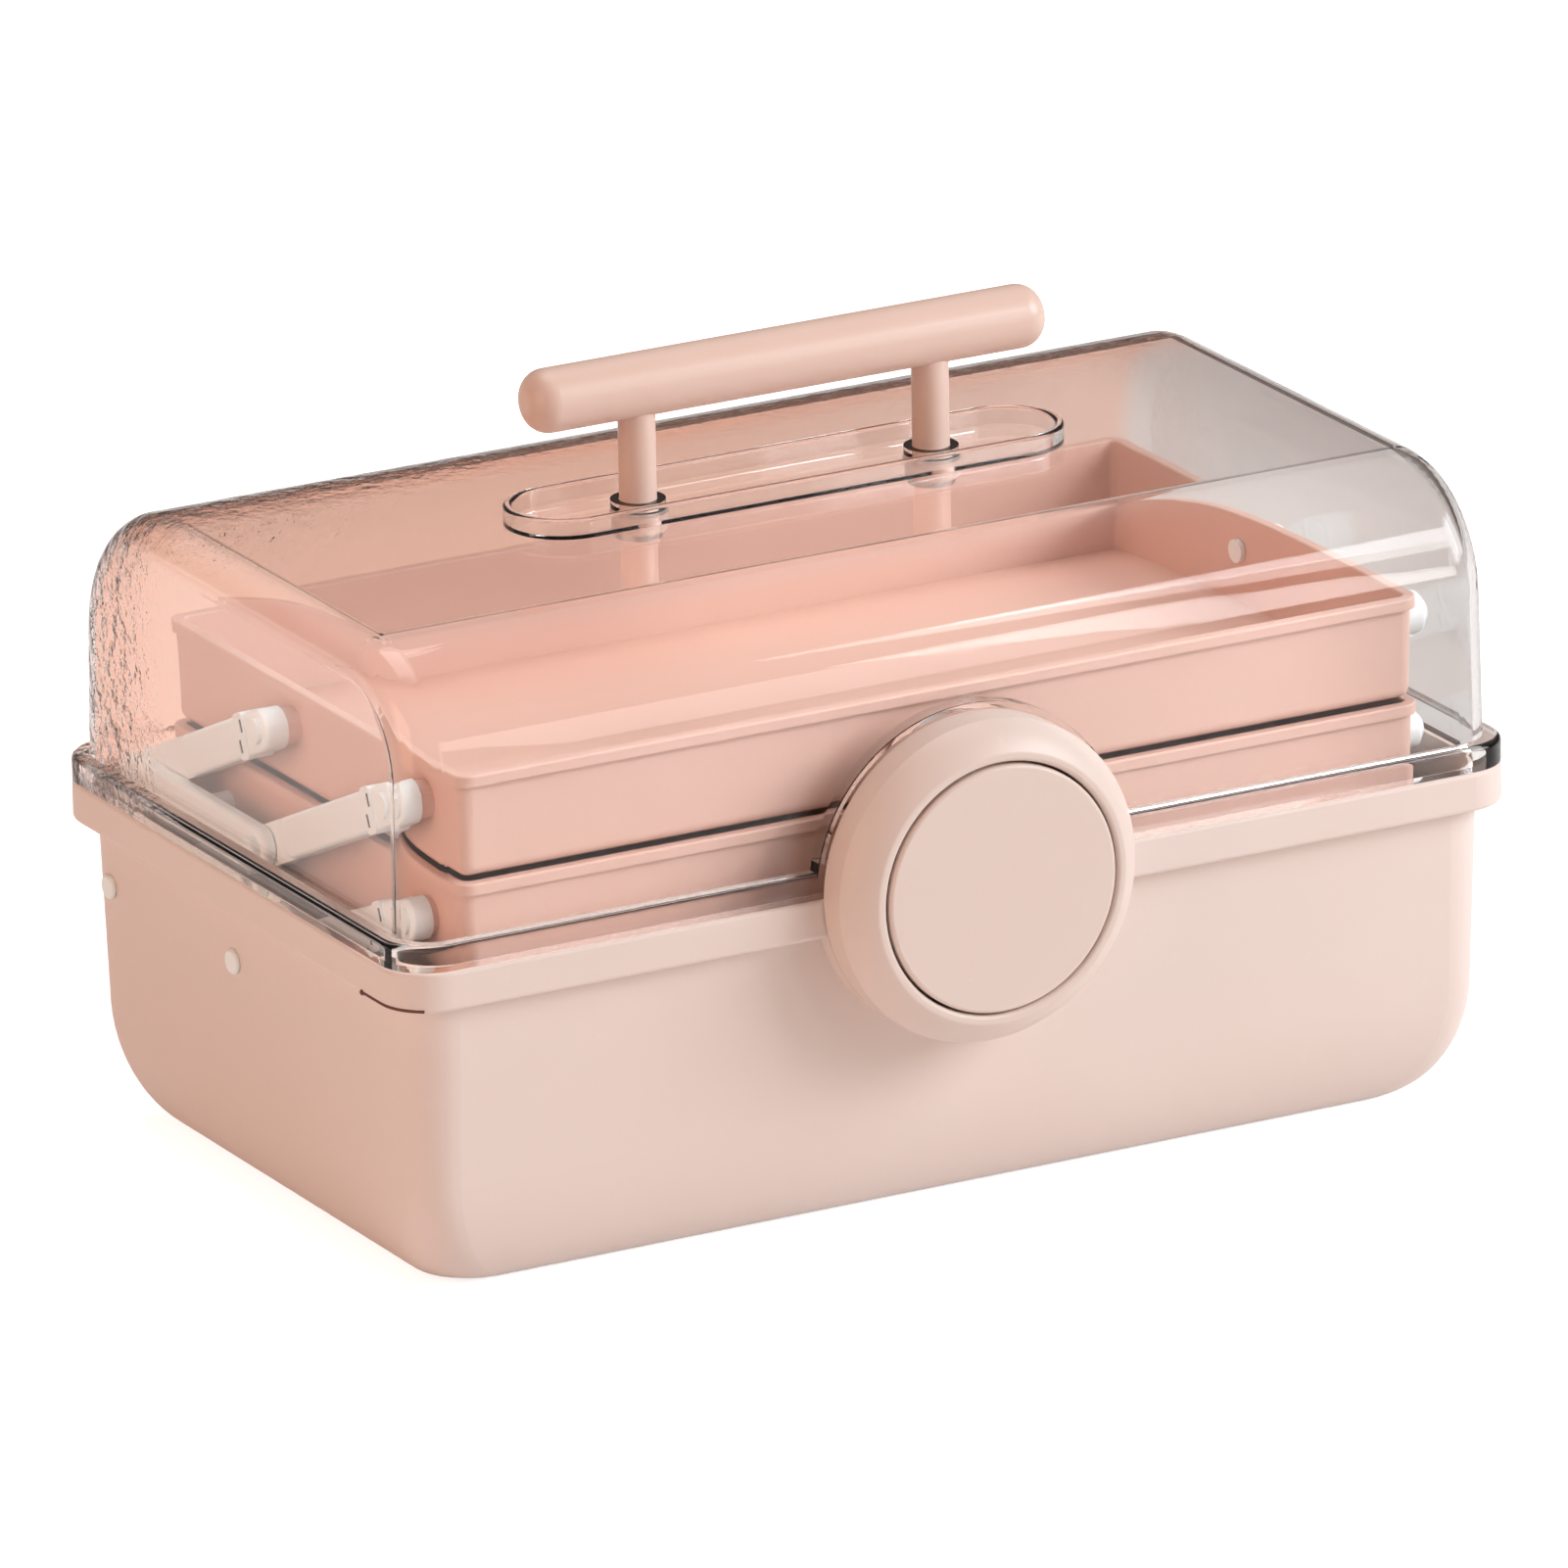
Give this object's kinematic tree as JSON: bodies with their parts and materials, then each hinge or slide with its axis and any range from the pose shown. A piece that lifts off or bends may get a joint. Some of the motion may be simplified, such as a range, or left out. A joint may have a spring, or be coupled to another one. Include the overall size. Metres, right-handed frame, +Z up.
{
  "type": "folding storage case",
  "caption": "Small plastic case with a clear hinged lid, fold-out trays on side arms, a round push latch and a lift handle, for hair accessories and cosmetics.",
  "frame": {"origin": "centre of the tub's underside", "axes": "+Z up, +X along the length, -Y is the latch side"},
  "size_m": [0.28, 0.1902, 0.1822],
  "materials": {
    "tub_pink": "satin moulded",
    "tray_pink": "satin moulded",
    "latch_pink": "satin moulded",
    "handle_pink": "soft gloss",
    "white_plastic": "satin",
    "clear_plastic": "clear gloss",
    "steel": "plated"
  },
  "bodies": {
    "base": {"base_tub": "tub_pink", "latch_ring": "latch_pink", "latch_screws": "steel", "latch_spring": "steel", "hinge_pin_left": "steel", "hinge_pin_right": "steel", "base_pivot_pins": "white_plastic", "hook_pin": "steel"},
    "lid": {"lid_shell": "clear_plastic", "handle_guides": "clear_plastic"},
    "handle": {"handle_bar": "handle_pink", "handle_post_left": "handle_pink", "handle_post_right": "handle_pink", "handle_foot_left": "handle_pink", "handle_foot_right": "handle_pink", "handle_screws": "steel"},
    "latch_button": {"latch_button": "latch_pink"},
    "latch_hook": {"latch_hook": "latch_pink"},
    "lower_front_arms": {"lower_front_arm_left": "white_plastic", "lower_front_arm_right": "white_plastic"},
    "lower_rear_arms": {"lower_rear_arm_left": "white_plastic", "lower_rear_arm_right": "white_plastic"},
    "middle_tray": {"middle_tray": "tray_pink", "carrier_bar_left": "white_plastic", "carrier_bar_right": "white_plastic", "middle_pivot_pins": "white_plastic", "rear_link_pins": "white_plastic", "carrier_screws": "steel"},
    "upper_front_arms": {"upper_front_arm_left": "white_plastic", "upper_front_arm_right": "white_plastic"},
    "upper_rear_arms": {"upper_rear_arm_left": "white_plastic", "upper_rear_arm_right": "white_plastic"},
    "upper_tray": {"upper_tray": "tray_pink", "upper_pivot_pins": "white_plastic"}
  },
  "joints": [
    {"name": "lid_hinge", "type": "hinge", "parent": "base", "child": "lid", "pos_m": [0, 0.088, 0.079], "axis": [-1, 0, 0], "range_deg": [0, 110]},
    {"name": "lower_front_lift", "type": "hinge", "parent": "base", "child": "lower_front_arms", "pos_m": [0, 0.007, 0.056], "axis": [-1, 0, 0], "range_deg": [0, 50]},
    {"name": "lower_rear_lift", "type": "hinge", "parent": "base", "child": "lower_rear_arms", "pos_m": [0, 0.067, 0.056], "axis": [-1, 0, 0], "range_deg": [0, 50]},
    {"name": "middle_tray_level", "type": "hinge", "parent": "lower_front_arms", "child": "middle_tray", "pos_m": [0, -0.058, 0.083], "axis": [-1, 0, 0], "range_deg": [-50, 0]},
    {"name": "upper_front_lift", "type": "hinge", "parent": "middle_tray", "child": "upper_front_arms", "pos_m": [0, 0.002, 0.083], "axis": [-1, 0, 0], "range_deg": [0, 50]},
    {"name": "upper_rear_lift", "type": "hinge", "parent": "middle_tray", "child": "upper_rear_arms", "pos_m": [0, 0.062, 0.083], "axis": [-1, 0, 0], "range_deg": [0, 50]},
    {"name": "upper_tray_level", "type": "hinge", "parent": "upper_front_arms", "child": "upper_tray", "pos_m": [0, -0.057, 0.1095], "axis": [-1, 0, 0], "range_deg": [-50, 0]},
    {"name": "handle_slide", "type": "slide", "parent": "lid", "child": "handle", "axis": [0, 0, 1], "range_m": [-0.0179, 0]},
    {"name": "latch_press", "type": "slide", "parent": "base", "child": "latch_button", "axis": [0, 1, 0], "range_m": [0, 0.0025], "stiffness_N_per_m": 400, "deforming": ["latch_spring"]},
    {"name": "hook_swing", "type": "hinge", "parent": "base", "child": "latch_hook", "pos_m": [0, -0.0912, 0.096], "axis": [1, 0, 0], "range_deg": [0, 20.5]}
  ],
  "couplings": [
    {"joint": "lower_front_lift", "follows": "lid_hinge", "ratio": 0.45},
    {"joint": "lower_rear_lift", "follows": "lid_hinge", "ratio": 0.45},
    {"joint": "middle_tray_level", "follows": "lid_hinge", "ratio": -0.45},
    {"joint": "upper_front_lift", "follows": "lid_hinge", "ratio": 0.45},
    {"joint": "upper_rear_lift", "follows": "lid_hinge", "ratio": 0.45},
    {"joint": "upper_tray_level", "follows": "lid_hinge", "ratio": -0.45},
    {"joint": "hook_swing", "follows": "latch_press", "rad_per_m": 140}
  ]
}
